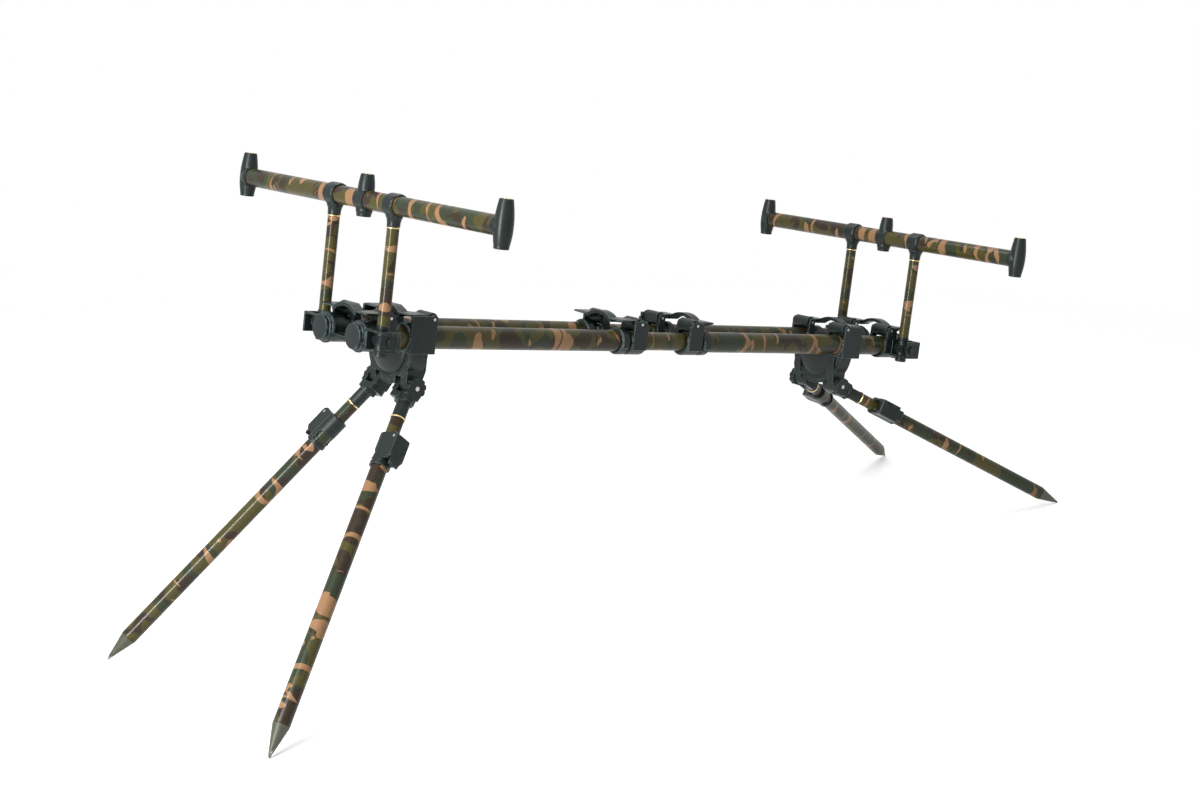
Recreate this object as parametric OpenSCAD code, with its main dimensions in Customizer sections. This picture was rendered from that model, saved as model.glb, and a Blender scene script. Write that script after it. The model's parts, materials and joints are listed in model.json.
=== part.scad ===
// Rod pod: a twin-rail telescopic body on four splayed legs, with two three-rod buzz bars.
// Millimetres. X runs along the pod, Y across it and Z up; the four spikes stand on Z = 0.

/* [Rails] */
// Outside diameter of the outer tubes
outer_d = 25; // [22:0.5:30]
// Wall of the outer tubes
outer_wall = 1.4; // [1:0.1:2]
// Length of an outer tube
outer_len = 374; // [340:1:420]
// Wall of the inner tubes
inner_wall = 1.4; // [1:0.1:2.5]
// Length of an inner tube
inner_len = 520; // [440:1:560]
// Distance between the axes of the two rails
rail_pitch = 62.5; // [60:0.5:80]
// Gap between the facing ends of the left and right outer tubes
middle_gap = 120; // [116:1:240]

/* [Stance] */
// Height of the middle of the body above the ground
body_h = 299; // [280:1:340]
// Slope of the body, right end lower
tilt = 8.94; // [4:0.01:12]
// Swing of the left legs outwards from straight down
left_fold = 33.4; // [20:0.1:50]
// Swing of the right legs outwards from straight down
right_fold = 67.7; // [55:0.1:75]
// Splay of the legs to the sides
splay = 18.9; // [12:0.1:24]

/* [Clamps] */
// Wall of the moulded sleeves round the rails
sleeve_wall = 3.5; // [3:0.1:5]
// Height of a cam pin above the top of the outer tube
pin_rise = 9; // [8:0.1:11]
// Diameter of the steel cam pins
pin_d = 3.2; // [2.5:0.1:4]
// Length of a cam lever from its pin to its free edge
lever_len = 30; // [26:0.5:34]
// Width of the finger arch along the rail
arch_w = 13; // [9:0.5:15]
// Height of the top of the finger arch above the pin
arch_rise = 10; // [8:0.5:14]
// Thickness of the finger arch
arch_t = 4.2; // [3:0.1:5]
// Width of a cam pad across the rail
cam_w = 24; // [20:0.5:25]

/* [Leg heads] */
// Distance of the left head inwards from the outer tube's end
left_head_in = 79; // [70:1:90]
// Distance of the right head inwards from the outer tube's end
right_head_in = 109; // [90:1:120]
// Length of the head's sleeves along the rail
head_len = 36; // [34:1:42]
// Radius of the half-round leg block
drum_r = 41; // [38:0.5:43]
// Thickness of the leg block along the rail
drum_t = 21.4; // [21:0.1:26]
// Distance of a hip pin from the middle plane
hip_v = 29; // [28:0.5:32]
// Depth of a hip pin below the rail axis
hip_drop = 54; // [53:0.5:60]
// Diameter of the steel hip pins
hip_pin_d = 5; // [4:0.5:6]

/* [Legs] */
// Outside diameter of the upper leg tube
leg_in_d = 15; // [13:0.5:17]
// Wall of the leg tubes
leg_wall = 1.2; // [1:0.1:2]
// Room left below the upper tube in the shorter lower legs
leg_spare = 32; // [25:1:80]
// Distance from hip to the top of the upper leg tube
leg_socket = 41.5; // [38:0.5:48]
// Visible upper tube between socket and collar
leg_show = 22; // [20:0.5:30]
// Length of a leg collar
collar_len = 38; // [36:0.5:44]
// Length of the conical ground spike
spike_len = 34; // [28:1:40]
// Diameter of the flat at the spike's point
spike_tip_d = 2.4; // [2:0.1:4]

/* [Buzz bars] */
// Outside diameter of the bars
bar_d = 20.3; // [18:0.1:22]
// Wall of the bars and uprights
bar_wall = 1.4; // [1:0.1:2]
// Distance between the outer rod sockets of the left bar
left_span = 471; // [420:1:520]
// Distance between the outer rod sockets of the right bar
right_span = 435; // [400:1:520]
// Height of a bar's axis above the rails' axes
bar_rise = 140; // [130:1:160]
// Outside diameter of the uprights
upright_d = 13; // [11:0.5:14]
// Distance of the uprights inwards from the outer tube's end
upright_in = 17.4; // [16:0.1:19]
// Length of the collar that ties an upright to its bar
tie_len = 18; // [16:0.5:20]
// Height of a rod socket's top above the bar's axis
socket_up = 27; // [25:0.5:32]
// Depth of a rod socket's foot below the bar's axis
socket_down = 22; // [18:0.5:22]
// Largest diameter of a rod socket
socket_d = 24.6; // [24:0.1:27]
// Bore of the threaded insert for a rod rest
thread_bore_d = 8.4; // [8:0.1:9]
// Depth of the threaded insert
thread_depth = 15; // [10:0.5:15]

/* [Hidden] */
$fn = 48;

// Clearances
slide_gap = 0.3;
pin_play = 0.05;
side_gap = 0.4;
cut = 1;

// Colours
plastic = [0.21, 0.25, 0.26];
camo = [0.32, 0.31, 0.20];
steel = [0.78, 0.78, 0.76];
brass = [0.74, 0.60, 0.30];

// Rails
rail_v = rail_pitch / 2;
outer_r = outer_d / 2;
inner_r = outer_r - outer_wall - slide_gap;
tube_in = middle_gap / 2;
tube_end = tube_in + outer_len;
sleeve_r = outer_r + sleeve_wall;
rim = 1.3;
rim_step = 1;
flank = 9;
seat_flank = 7;

// Clamps, measured along the rail from the cam pin
pin_r = pin_d / 2;
pin_w = outer_r + pin_rise;
cheek_t = sleeve_r - cam_w / 2 - side_gap;
cheek_round = 5;
slot_floor = 3.2;
web_top = -4;
web_t = 5;
cam_r = 6.8;
arm_up = 4.4;
arm_down = 1;
pad_lip = 2;
arch_root = 3;
arch_seat = 2;
arch_in = 1;
grip_in = 12;
grip_out = 12.5;
seat_in = 15;
seat_out = 27;
centre_pin = tube_in - seat_in;
end_grip_in = 9;
end_seat = 33;
end_step = 2;
end_pin = tube_end - end_seat;
end_out = end_seat - end_step;
head_grip_in = 6;
head_grip_out = head_len - head_grip_in;
head_pin = -10;

// End caps and upright forks
cap_t = 3;
cap_step = 1;
cap_rim = 3;
cap_plug = 12;
cap_r = sleeve_r + 0.5;
fork_root = outer_r + 1;
fork_v = rail_v + sleeve_r + 0.55 + upright_d / 2 + 1;
fork_half = upright_d / 2 + 1;
fork_plate = 2.6;
fork_h = 11;
fork_in = 11;
fork_out = 14;
fork_room = 8;
fork_boss_r = 5.5;
fork_wall = fork_v + fork_half + fork_room;
fork_face = fork_wall + fork_plate;
bridge_w = 3;
bridge_h = 2.5;
foot_r = 8;
foot_stub = 17.4;
foot_sleeve = 15;
foot_half = fork_half - slide_gap;
foot_pin_r = 2;
upright_at = tube_end - upright_in;
upright_r = upright_d / 2;
upright_low = 5;

// Heads and hips
drum_w = -14;
groove_w = 1.2;
groove_edge = 3;
groove_pitch = 6;
groove_deep = 0.8;
tongue_t = 11;
arm_in = 15;
arm_neck = 18;
ear_r = 9.5;
outer_ear_r = 11.6;
ear_t = 8;
ear_drop = 11;
fork_base = 7;
hip_pin_r = hip_pin_d / 2;

// Legs, measured down the leg from the hip
leg_in_r = leg_in_d / 2;
leg_out_r = leg_in_r + slide_gap + leg_wall;
flange_r = 9.8;
flange_low = 21;
teeth = 9;
tooth_w = 2.6;
tooth_d = 1.2;
tooth_ring = 4;
ring_h = 1.5;
ring_r = leg_in_r + 0.3;
ring_inset = 0.2;
spigot_len = 18;
collar_at = leg_socket + leg_show;
collar_r = leg_out_r + 2.3;
collar_step = 20.5;
collar_hoop = 4.5;
collar_cut = 3;
window_r = 5.2;
lever_room = 4;
leg_lever_w = 14;
leg_cheek_t = 3;
leg_pin_out = 8.7;
leg_pin_down = 5.5;
leg_pin = [leg_in_r + leg_pin_out, -leg_pin_down];
leg_arm_out = 4.6;
leg_cheek_len = 32;
leg_grip = 14;
leg_grip_lip = 5;
leg_grip_t = 1.6;
spike_r = spike_tip_d / 2;
spike_plug = 10;

// Buzz bars
bar_r = bar_d / 2;
tie_r = bar_r + 2.4;
tie_socket_r = upright_r + 1;
tie_drop = 22;
upright_top = bar_rise - bar_r - 0.5;
socket_top_r = 7.4;
socket_foot_r = 7.9;
socket_lip = 0.5;
lip_h = 2.5;
socket_belt = 4;
socket_shoulder = 9;
socket_ease = 0.8;
socket_collar = 16;
bar_past = 6;
insert_r = thread_bore_d / 2 + 1.3;

// Which end and which side a named piece belongs to
function sign_of(left) = left ? -1 : 1;
function fold_of(left) = left ? left_fold : right_fold;
function head_of(left) = tube_end - (left ? left_head_in : right_head_in);
function span_of(left) = left ? left_span : right_span;

// A leg's hip and direction in the standing frame, before the body is centred
function hip_x(left) = sign_of(left) * head_of(left) * cos(tilt) - hip_drop * sin(tilt);
function hip_z(left) = body_h - sign_of(left) * head_of(left) * sin(tilt) - hip_drop * cos(tilt);
function leg_u(left) = sign_of(left) * cos(splay) * sin(fold_of(left));
function leg_w(left) = -cos(splay) * cos(fold_of(left));
function leg_x(left) = leg_u(left) * cos(tilt) + leg_w(left) * sin(tilt);
function leg_z(left) = -leg_u(left) * sin(tilt) + leg_w(left) * cos(tilt);
function leg_len(left) = (hip_z(left) - spike_r * sqrt(1 - pow(leg_z(left), 2))) / -leg_z(left);
function reach_x(left) =
    hip_x(left) + leg_len(left) * leg_x(left) + sign_of(left) * spike_r * sqrt(1 - pow(leg_x(left), 2));
body_x = -(reach_x(true) + reach_x(false)) / 2;

// All four upper tubes are alike, cut to suit the shorter legs
leg_in_len = min(leg_len(true), leg_len(false)) - spike_len - spike_plug - leg_socket - leg_spare;

// Placing: the sloped body, one end of it with X outwards, one side of that end, and one leg
module in_body() {
    translate([body_x, 0, body_h]) rotate([0, tilt, 0]) children();
}

module at_end(left) {
    in_body() {
        if (left) mirror([1, 0, 0]) children();
        else children();
    }
}

module at_side(near) {
    if (near) mirror([0, 1, 0]) children();
    else children();
}

module both_sides() {
    children();
    mirror([0, 1, 0]) children();
}

module at_hip(left, near) {
    at_end(left) translate([head_of(left), 0, 0])
        at_side(near) translate([0, hip_v, -hip_drop]) rotate([0, -fold_of(left), 0]) children();
}

module down_leg(left, near) {
    at_hip(left, near) rotate([splay, 0, 0]) children();
}

// Shapes that repeat: rods along X or Y, and outlines drawn across those axes
module rod_x(from, to, r) {
    translate([from, 0, 0]) rotate([0, 90, 0]) cylinder(h = to - from, r = r);
}

module rod_v(from, to, r) {
    translate([0, from, 0]) rotate([-90, 0, 0]) cylinder(h = to - from, r = r);
}

module outline_x(from, to) {
    translate([from, 0, 0]) rotate([90, 0, 90]) linear_extrude(to - from) children();
}

module outline_v(from, to) {
    translate([0, to, 0]) rotate([90, 0, 0]) linear_extrude(to - from) children();
}

module on_rails() {
    both_sides() translate([0, rail_v, 0]) children();
}

module tube_x(from, to, r, wall) {
    difference() {
        rod_x(from, to, r);
        rod_x(from - cut, to + cut, r - wall);
    }
}

// Telescopic rails
module inner_tube(near) {
    color(camo) in_body() at_side(near) translate([0, rail_v, 0])
        tube_x(-inner_len / 2, inner_len / 2, inner_r, inner_wall);
}

module outer_tubes(left) {
    color(camo) at_end(left) on_rails() tube_x(tube_in, tube_end, outer_r, outer_wall);
}

// A moulded sleeve round one rail: a stepped rim at each end and a flat outer flank
module sleeve(from, to, flat) {
    rod_x(from, to, sleeve_r - rim_step);
    rod_x(from + rim, to - rim, sleeve_r);
    outline_x(from + rim, to - rim) translate([0, -flat]) square([sleeve_r, flat]);
}

// Cheek plates that carry a cam pin; the outer one runs along the sleeve, the inner one is an ear
module cheeks(from, to) {
    outline_v(sleeve_r - cheek_t, sleeve_r) {
        translate([from + rim, 0]) square([to - from - 2 * rim, pin_w - 2]);
        translate([from + rim + 2, pin_w - 2 - cut]) square([to - from - 2 * rim - 2, arm_up + 2]);
        translate([0, pin_w]) circle(r = cheek_round);
    }
    outline_v(-sleeve_r, -sleeve_r + cheek_t) {
        translate([0, pin_w]) circle(r = cheek_round);
        translate([-cheek_round, 0]) square([2 * cheek_round, pin_w]);
    }
}

// Room for a cam between the cheeks, open above the rail
module cam_slot(from, to) {
    outline_x(from, to) translate([-cam_w / 2 - side_gap, slot_floor])
        square([cam_w + 2 * side_gap, pin_w + 2 * cheek_round]);
}

module cam_pin_bore() {
    translate([0, 0, pin_w]) rod_v(-sleeve_r - cut, sleeve_r + cut, pin_r);
}

// Web that ties the two sleeves of a clamp together under the finger arch
module web(from, to) {
    outline_x(from, to) translate([-rail_v, web_top - web_t]) square([2 * rail_v, web_t]);
}

module centre_clamp(left) {
    color(plastic) at_end(left) translate([centre_pin, 0, 0]) difference() {
        union() {
            on_rails() {
                sleeve(-grip_in, grip_out, flank);
                sleeve(seat_in, seat_out, seat_flank);
                cheeks(-grip_in, grip_out);
            }
            web(-grip_in + rim, seat_out - rim);
        }
        on_rails() {
            rod_x(-grip_in - cut, seat_in, inner_r + slide_gap);
            rod_x(seat_in, seat_out + cut, outer_r);
            cam_slot(-grip_in - cut, grip_out + cut);
            cam_pin_bore();
        }
    }
}

module head_clamp(left) {
    color(plastic) at_end(left) translate([head_of(left) + head_pin, 0, 0]) difference() {
        union() {
            on_rails() {
                sleeve(-head_grip_in, head_grip_out, sleeve_r);
                cheeks(-head_grip_in, head_grip_out);
            }
            web(-head_grip_in + rim, head_grip_out - rim);
        }
        on_rails() {
            rod_x(-head_grip_in - cut, head_grip_out + cut, outer_r + slide_gap);
            cam_slot(-head_grip_in - cut, grip_out);
            cam_pin_bore();
        }
    }
}

// End bracket: sleeves on the tube ends, with a fork outside each for an upright's foot
module end_bracket(left) {
    color(plastic) at_end(left) difference() {
        union() {
            translate([end_pin, 0, 0]) {
                on_rails() {
                    sleeve(-end_grip_in, end_out, flank);
                    cheeks(-end_grip_in, grip_out);
                }
                web(-end_grip_in + rim, end_out - rim);
            }
            both_sides() fork();
        }
        translate([end_pin, 0, 0]) on_rails() {
            rod_x(-end_grip_in - cut, end_out + cut, outer_r);
            cam_slot(-end_grip_in - cut, grip_out);
            cam_pin_bore();
        }
        both_sides() translate([upright_at, 0, 0])
            rod_v(rail_v, fork_face + cut, foot_pin_r);
    }
}

// Fork: an open channel with a plate on each side of the foot, tied above and below where nothing swings
module fork() {
    root = rail_v + fork_root;
    translate([upright_at, 0, 0]) {
        outline_v(root, fork_v - fork_half) fork_side();
        outline_v(fork_wall, fork_face) fork_side();
        rod_v(fork_v + fork_half, fork_wall, fork_boss_r);
        for (corner = [[fork_out - bridge_w, fork_h - bridge_h], [-fork_in, -fork_h]])
            translate([corner[0], root, corner[1]]) cube([bridge_w, fork_face - root, bridge_h]);
    }
}

module fork_side() {
    translate([-fork_in, -fork_h]) square([fork_in + fork_out, 2 * fork_h]);
}

// End caps: a stepped disc with a plug in each tube, flat on the side of the fork
module end_caps(left) {
    color(plastic) at_end(left) on_rails() difference() {
        union() {
            rod_x(tube_end, tube_end + cap_t - cap_step, cap_r);
            rod_x(tube_end, tube_end + cap_t, cap_r - cap_rim);
            rod_x(tube_end - cap_plug, tube_end, outer_r - outer_wall);
        }
        translate([tube_end - cut, fork_root, -cap_r]) cube([cap_t + 2 * cut, cap_r, 2 * cap_r]);
    }
}

// Cam lever over both rails: a pad with a cam on each, joined by a finger arch at the free edge
module bail(cam_reach) {
    half = rail_v - cam_w / 2 + arch_root;
    sag = arch_rise - arch_seat;
    arch_r = (half * half + sag * sag) / (2 * sag);
    color(plastic) difference() {
        union() {
            on_rails() outline_v(-cam_w / 2, cam_w / 2) {
                circle(r = cam_r);
                translate([0, cam_r - cam_reach]) circle(r = cam_r);
                translate([-cam_r, cam_r - cam_reach]) square([2 * cam_r, cam_reach - cam_r]);
                polygon([[0, -arm_down], [lever_len / 2, -arm_down], [lever_len, arm_up - pad_lip],
                    [lever_len, arm_up - pad_lip / 2], [lever_len - pad_lip, arm_up], [0, arm_up]]);
            }
            outline_x(lever_len - arch_in - arch_w, lever_len - arch_in) intersection() {
                translate([0, arch_rise - arch_r]) difference() {
                    circle(r = arch_r);
                    circle(r = arch_r - arch_t);
                }
                translate([-half, -arm_down]) square([2 * half, arch_rise + 2 * arm_down]);
            }
        }
        on_rails() rod_v(-cam_w / 2 - cut, cam_w / 2 + cut, pin_r + pin_play);
    }
}

module centre_lever(left) {
    at_end(left) translate([centre_pin, 0, pin_w]) bail(pin_w - inner_r - slide_gap);
}

module end_lever(left) {
    at_end(left) translate([end_pin, 0, pin_w]) bail(pin_w - outer_r - slide_gap);
}

module head_lever(left) {
    at_end(left) translate([head_of(left) + head_pin, 0, pin_w]) bail(pin_w - outer_r - slide_gap);
}

module cam_pins() {
    on_rails() translate([0, 0, pin_w]) rod_v(-sleeve_r, sleeve_r, pin_r);
}

module rail_pins(left) {
    color(steel) at_end(left) {
        translate([centre_pin, 0, 0]) cam_pins();
        translate([end_pin, 0, 0]) cam_pins();
        both_sides() translate([upright_at, 0, 0])
            rod_v(rail_v + fork_root, fork_face, foot_pin_r);
    }
}

// Leg block: a half-round drum under the head, with a tapered arm for each leg's knuckle
module leg_block(left) {
    ear_in = tongue_t / 2 + side_gap;
    ear_out = ear_in + ear_t + side_gap;
    color(plastic) at_end(left) translate([head_of(left), 0, 0]) difference() {
        union() {
            outline_x(-drum_t / 2, drum_t / 2) intersection() {
                translate([0, drum_w]) circle(r = drum_r);
                translate([-drum_r, drum_w - drum_r - cut])
                    square([2 * drum_r, web_top - web_t - drum_w + drum_r + cut]);
            }
            both_sides() translate([0, hip_v, 0]) outline_v(-tongue_t / 2, tongue_t / 2) {
                translate([0, -hip_drop]) circle(r = ear_r);
                polygon([[-ear_r, -hip_drop], [ear_r, -hip_drop], [ear_r, slot_floor - sleeve_r],
                    [-arm_in, slot_floor - sleeve_r], [-arm_in, arm_neck - hip_drop]]);
            }
        }
        both_sides() translate([0, hip_v, -hip_drop]) {
            outline_v(-ear_out, -tongue_t / 2) {
                circle(r = ear_r + side_gap);
                translate([0, -drum_r]) square([drum_t, drum_r + ear_r + side_gap]);
            }
            outline_v(-ear_out, ear_out)
                translate([ear_r + side_gap, -drum_r]) square([drum_t, drum_r + ear_r + side_gap]);
        }
        on_rails() {
            rod_x(-drum_t, drum_t, sleeve_r);
            translate([0, 0, -sleeve_r]) outline_x(-drum_t, drum_t) square([sleeve_r, sleeve_r]);
        }
        for (x = [-drum_t / 2 - cut, drum_t / 2 - groove_deep], i = [0 : 2])
            translate([x, 0, drum_w]) groove(drum_r - groove_edge - i * groove_pitch);
        both_sides() translate([0, hip_v, -hip_drop]) rod_v(-tongue_t, tongue_t, hip_pin_r);
    }
}

module groove(r) {
    difference() {
        rod_x(0, groove_deep + cut, r);
        rod_x(-cut, groove_deep + 2 * cut, r - groove_w);
    }
}

module head_pins(left) {
    color(steel) at_end(left) translate([head_of(left), 0, 0]) {
        translate([head_pin, 0, 0]) cam_pins();
        both_sides() translate([0, hip_v, -hip_drop])
            rod_v(-tongue_t / 2 - side_gap - ear_t, tongue_t / 2 + side_gap + ear_t, hip_pin_r);
    }
}

// Leg knuckle: two ears on the hip pin, a toothed flange, and the socket that the upper tube fits
module knuckle(left, near) {
    ear_in = tongue_t / 2 + side_gap;
    base_r = ear_in + ear_t + ring_h / 2;
    color(plastic) difference() {
        union() {
            at_hip(left, near) {
                outline_v(ear_in, ear_in + ear_t) {
                    toothed(outer_ear_r);
                    translate([-ear_r, -ear_drop]) square([2 * ear_r, ear_drop]);
                }
                outline_v(-ear_in - ear_t, -ear_in) {
                    circle(r = ear_r);
                    translate([-ear_r, -ear_drop]) square([2 * ear_r, ear_drop]);
                }
                intersection() {
                    translate([-ear_r, -ear_in - ear_t, -ear_drop - fork_base])
                        cube([2 * ear_r, 2 * (ear_in + ear_t), fork_base]);
                    translate([0, 0, -ear_drop - fork_base - cut])
                        cylinder(h = fork_base + 2 * cut, r = base_r);
                }
            }
            down_leg(left, near) {
                translate([0, 0, -flange_low]) cylinder(h = flange_low - ear_drop - 2, r = flange_r);
                translate([0, 0, -flange_low]) linear_extrude(tooth_ring) toothed(flange_r + tooth_d);
                translate([0, 0, ring_h - leg_socket])
                    cylinder(h = leg_socket - ring_h - ear_drop - tooth_ring, r = ring_r - ring_inset);
                translate([0, 0, -leg_socket]) cylinder(h = 2 * ring_h, r = ring_r);
                translate([0, 0, -leg_socket - spigot_len])
                    cylinder(h = spigot_len + cut, r = leg_in_r - leg_wall);
            }
        }
        at_hip(left, near) {
            rod_v(-ear_in - ear_t - cut, ear_in + ear_t + cut, hip_pin_r + pin_play);
            rod_v(-ear_in, ear_in, ear_r + side_gap);
        }
    }
}

module toothed(r) {
    difference() {
        circle(r = r);
        for (a = [0 : 360 / teeth : 359]) rotate(a) translate([r - tooth_d, -tooth_w / 2])
            square([2 * tooth_d, tooth_w]);
    }
}

module upper_tube(left, near) {
    color(camo) down_leg(left, near) translate([0, 0, -leg_socket - leg_in_len]) difference() {
        cylinder(h = leg_in_len, r = leg_in_r);
        translate([0, 0, -cut]) cylinder(h = leg_in_len + 2 * cut, r = leg_in_r - leg_wall);
    }
}

module lower_tube(left, near) {
    top = collar_at + collar_step;
    body = leg_len(left) - spike_len - top;
    color(camo) down_leg(left, near) translate([0, 0, -top]) difference() {
        union() {
            translate([0, 0, -body]) cylinder(h = body, r = leg_out_r);
            translate([0, 0, -body - spike_len]) cylinder(h = spike_len, r1 = spike_r, r2 = leg_out_r);
        }
        translate([0, 0, -body + spike_plug]) cylinder(h = body, r = leg_in_r + slide_gap);
    }
}

// Leg collar: a clamp hoop on the upper tube, a thin hoop on the lower one, and two cheeks for the lever
module collar(left, near) {
    slot = leg_lever_w / 2 + side_gap;
    color(plastic) down_leg(left, near) translate([0, 0, -collar_at]) difference() {
        union() {
            translate([0, 0, -collar_len]) cylinder(h = collar_len, r = collar_r);
            for (x = [slot, -slot - leg_cheek_t]) outline_x(x, x + leg_cheek_t) {
                translate(leg_pin) circle(r = leg_arm_out);
                polygon([[0, 0], [0, -leg_cheek_len], [leg_pin[0], -leg_cheek_len],
                    [leg_pin[0] + leg_arm_out, leg_cheek_t - leg_cheek_len],
                    [leg_pin[0] + leg_arm_out, leg_pin[1]], [leg_pin[0], 0]]);
            }
        }
        translate([0, 0, -collar_step]) cylinder(h = collar_step + cut, r = leg_in_r + slide_gap);
        translate([0, 0, -collar_len - cut]) cylinder(h = collar_len - collar_step + cut, r = leg_out_r);
        translate([-collar_r, -collar_r, collar_hoop - collar_len])
            cube([2 * collar_r, collar_r - collar_cut, collar_cut]);
        translate([0, -collar_cut, collar_cut + collar_hoop - collar_len + window_r]) rotate([0, 90, 0])
            translate([0, -collar_r, -collar_r]) linear_extrude(2 * collar_r) window();
        outline_x(-slot, slot) translate([leg_in_r - lever_room, lever_room - collar_step])
            square([collar_r, collar_step]);
        translate([0, leg_pin[0], leg_pin[1]]) rod_x(-collar_r, collar_r, pin_r);
    }
}

module window() {
    translate([-window_r, 0]) square([2 * window_r, collar_r - window_r]);
    translate([0, collar_r - window_r]) circle(r = window_r);
}

module leg_lever(left, near) {
    reach = leg_pin[0] - leg_in_r - slide_gap;
    tip = -collar_len - leg_pin[1];
    arm = leg_arm_out - 0.4;
    color(plastic) down_leg(left, near) translate([0, leg_pin[0], leg_pin[1] - collar_at]) difference() {
        outline_x(-leg_lever_w / 2, leg_lever_w / 2) {
            circle(r = leg_arm_out);
            translate([leg_arm_out - reach, 0]) circle(r = leg_arm_out);
            translate([leg_arm_out - reach, -leg_arm_out]) square([reach - leg_arm_out, 2 * leg_arm_out]);
            polygon([[0, 0], [0, tip + leg_grip], [leg_grip_t, tip + leg_grip_lip], [arm - pad_lip, tip],
                [arm, tip + pad_lip], [arm, 0]]);
        }
        rod_x(-leg_lever_w, leg_lever_w, pin_r + pin_play);
    }
}

module lever_pin(left, near) {
    half = leg_lever_w / 2 + side_gap + leg_cheek_t;
    color(steel) down_leg(left, near) translate([0, leg_pin[0], leg_pin[1] - collar_at])
        rod_x(-half, half, pin_r);
}

// Buzz bars and what stands on them
module buzz_bar(left) {
    half = span_of(left) / 2 + bar_past;
    color(camo) at_end(left) translate([upright_at, 0, bar_rise]) difference() {
        rod_v(-half, half, bar_r);
        rod_v(-half - cut, half + cut, bar_r - bar_wall);
    }
}

module uprights(left) {
    color(camo) at_end(left) both_sides() translate([upright_at, fork_v, upright_low]) difference() {
        cylinder(h = upright_top - upright_low, r = upright_r);
        translate([0, 0, -cut]) cylinder(h = upright_top - upright_low + 2 * cut, r = upright_r - bar_wall);
    }
}

module upright_feet(left) {
    color(plastic) at_end(left) both_sides() translate([upright_at, fork_v, 0]) difference() {
        union() {
            rod_v(-foot_half, foot_half, foot_r);
            translate([0, 0, -foot_stub]) cylinder(h = foot_stub + foot_sleeve, r = foot_half);
        }
        rod_v(-foot_half - cut, foot_half + cut, foot_pin_r + pin_play);
        translate([0, 0, upright_low]) cylinder(h = foot_sleeve, r = upright_r);
    }
}

module upright_ties(left) {
    color(plastic) at_end(left) both_sides() translate([upright_at, fork_v, bar_rise]) difference() {
        union() {
            rod_v(-tie_len / 2, tie_len / 2, tie_r - 0.8);
            rod_v(-tie_len / 2 + 2, tie_len / 2 - 2, tie_r);
            translate([0, 0, -tie_drop]) cylinder(h = tie_drop, r = tie_socket_r);
        }
        rod_v(-tie_len, tie_len, bar_r);
        translate([0, 0, -tie_drop - cut]) cylinder(h = tie_drop + cut, r = upright_r);
    }
}

// Rod socket: a barrel standing across the bar, with its widest girth at the bar and a lip at its foot
module socket_barrel() {
    girth = socket_d / 2;
    lip_r = socket_foot_r + socket_lip;
    rotate_extrude() polygon([[0, -socket_down], [socket_foot_r, -socket_down],
        [lip_r, socket_lip - socket_down], [lip_r, lip_h - socket_down],
        [socket_foot_r, lip_h + socket_lip - socket_down],
        [girth - socket_ease, -socket_shoulder], [girth, -socket_belt], [girth, socket_belt],
        [girth - socket_ease, socket_shoulder], [socket_top_r, socket_up], [0, socket_up]]);
}

module rod_sockets(left) {
    half = span_of(left) / 2;
    color(plastic) at_end(left) translate([upright_at, 0, bar_rise]) {
        difference() {
            socket_barrel();
            rod_v(-socket_d, socket_d, bar_r);
            insert_seat();
        }
        both_sides() translate([0, half, 0]) difference() {
            union() {
                socket_barrel();
                rod_v(-socket_collar, 0, bar_r + 1.2);
            }
            rod_v(-socket_d, bar_past, bar_r);
            insert_seat();
        }
    }
}

module insert_seat() {
    translate([0, 0, socket_up - thread_depth]) cylinder(h = thread_depth + cut, r = insert_r);
}

module thread_inserts(left) {
    half = span_of(left) / 2;
    color(brass) at_end(left) for (v = [-half, 0, half])
        translate([upright_at, v, bar_rise + socket_up - thread_depth]) difference() {
            cylinder(h = thread_depth, r = insert_r);
            translate([0, 0, -cut]) cylinder(h = thread_depth + 2 * cut, r = thread_bore_d / 2);
        }
}

inner_tube(true);  // inner_tube_near
inner_tube(false);  // inner_tube_far
outer_tubes(true);  // left_outer_tubes
outer_tubes(false);  // right_outer_tubes
centre_clamp(true);  // left_centre_clamp
centre_clamp(false);  // right_centre_clamp
centre_lever(true);  // left_centre_lever
centre_lever(false);  // right_centre_lever
end_bracket(true);  // left_end_bracket
end_bracket(false);  // right_end_bracket
end_lever(true);  // left_end_lever
end_lever(false);  // right_end_lever
end_caps(true);  // left_end_caps
end_caps(false);  // right_end_caps
rail_pins(true);  // left_rail_pins
rail_pins(false);  // right_rail_pins
head_clamp(true);  // left_head_clamp
head_clamp(false);  // right_head_clamp
leg_block(true);  // left_leg_block
leg_block(false);  // right_leg_block
head_lever(true);  // left_head_lever
head_lever(false);  // right_head_lever
head_pins(true);  // left_head_pins
head_pins(false);  // right_head_pins
buzz_bar(true);  // left_buzz_bar
buzz_bar(false);  // right_buzz_bar
uprights(true);  // left_uprights
uprights(false);  // right_uprights
upright_feet(true);  // left_upright_feet
upright_feet(false);  // right_upright_feet
upright_ties(true);  // left_upright_ties
upright_ties(false);  // right_upright_ties
rod_sockets(true);  // left_rod_sockets
rod_sockets(false);  // right_rod_sockets
thread_inserts(true);  // left_thread_inserts
thread_inserts(false);  // right_thread_inserts
knuckle(true, true);  // left_near_knuckle
knuckle(true, false);  // left_far_knuckle
knuckle(false, true);  // right_near_knuckle
knuckle(false, false);  // right_far_knuckle
upper_tube(true, true);  // left_near_upper_tube
upper_tube(true, false);  // left_far_upper_tube
upper_tube(false, true);  // right_near_upper_tube
upper_tube(false, false);  // right_far_upper_tube
lower_tube(true, true);  // left_near_lower_tube
lower_tube(true, false);  // left_far_lower_tube
lower_tube(false, true);  // right_near_lower_tube
lower_tube(false, false);  // right_far_lower_tube
collar(true, true);  // left_near_collar
collar(true, false);  // left_far_collar
collar(false, true);  // right_near_collar
collar(false, false);  // right_far_collar
leg_lever(true, true);  // left_near_leg_lever
leg_lever(true, false);  // left_far_leg_lever
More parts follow.
